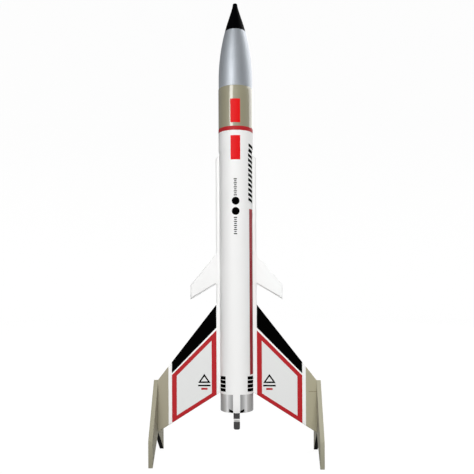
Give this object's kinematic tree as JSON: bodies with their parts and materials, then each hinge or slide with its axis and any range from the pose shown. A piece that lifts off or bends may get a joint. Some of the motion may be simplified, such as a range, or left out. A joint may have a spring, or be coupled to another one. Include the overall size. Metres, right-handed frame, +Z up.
{
  "type": "model rocket",
  "caption": "Winged model rocket with end plates, strakes and forward fins, a removable nose cone, a launch lug and a spring hook that holds the motor.",
  "frame": {"origin": "on the rocket's axis at ground level, where the end plates' lower corners stand", "axes": "+Z up along the body axis towards the nose, -Y the front where the engine hook hangs, X along the wings"},
  "size_m": [0.1712, 0.064, 0.4665],
  "materials": {
    "white_paper": "gloss paint over a paper tube",
    "tan_paper": "gloss khaki paint over paper",
    "white_wood": "sealed and white painted balsa",
    "tan_wood": "sealed and khaki painted balsa",
    "kraft": "bare kraft paper",
    "hook_steel": "blued spring steel",
    "nose_silver": "silver painted plastic with a black tip",
    "plug_plastic": "moulded black plastic",
    "anchor_paper": "folded card soaked in glue",
    "chute_film": "thin orange canopy, folded",
    "red_marking": "red decal film",
    "black_marking": "black decal film",
    "silver_marking": "silver decal film"
  },
  "bodies": {
    "airframe": {"body_tube": "white_paper", "forward_sleeve": "tan_paper", "left_strake": "white_wood", "right_strake": "white_wood", "left_forward_fin": "white_wood", "right_forward_fin": "white_wood", "left_wing": "white_wood", "right_wing": "white_wood", "left_end_plate": "tan_wood", "right_end_plate": "tan_wood", "launch_lug": "white_paper", "lug_standoff": "white_wood", "motor_tube": "kraft", "thrust_ring": "kraft", "forward_centering_ring": "kraft", "aft_centering_ring": "kraft", "hook_retaining_band": "anchor_paper", "shock_cord_anchor": "anchor_paper", "parachute_pack": "chute_film"},
    "nose": {"nose_cone": "nose_silver", "nose_base_plug": "plug_plastic"},
    "hook": {"engine_hook": "hook_steel"}
  },
  "joints": [
    {"name": "nose_slide", "type": "slide", "parent": "airframe", "child": "nose", "axis": [0, 0, 1], "range_m": [0, 0.05]},
    {"name": "hook_flex", "type": "hinge", "parent": "airframe", "child": "hook", "pos_m": [0, -0.0099, 0.1136], "axis": [-1, 0, 0], "range_deg": [0, 3], "stiffness_Nm_per_rad": 4}
  ]
}
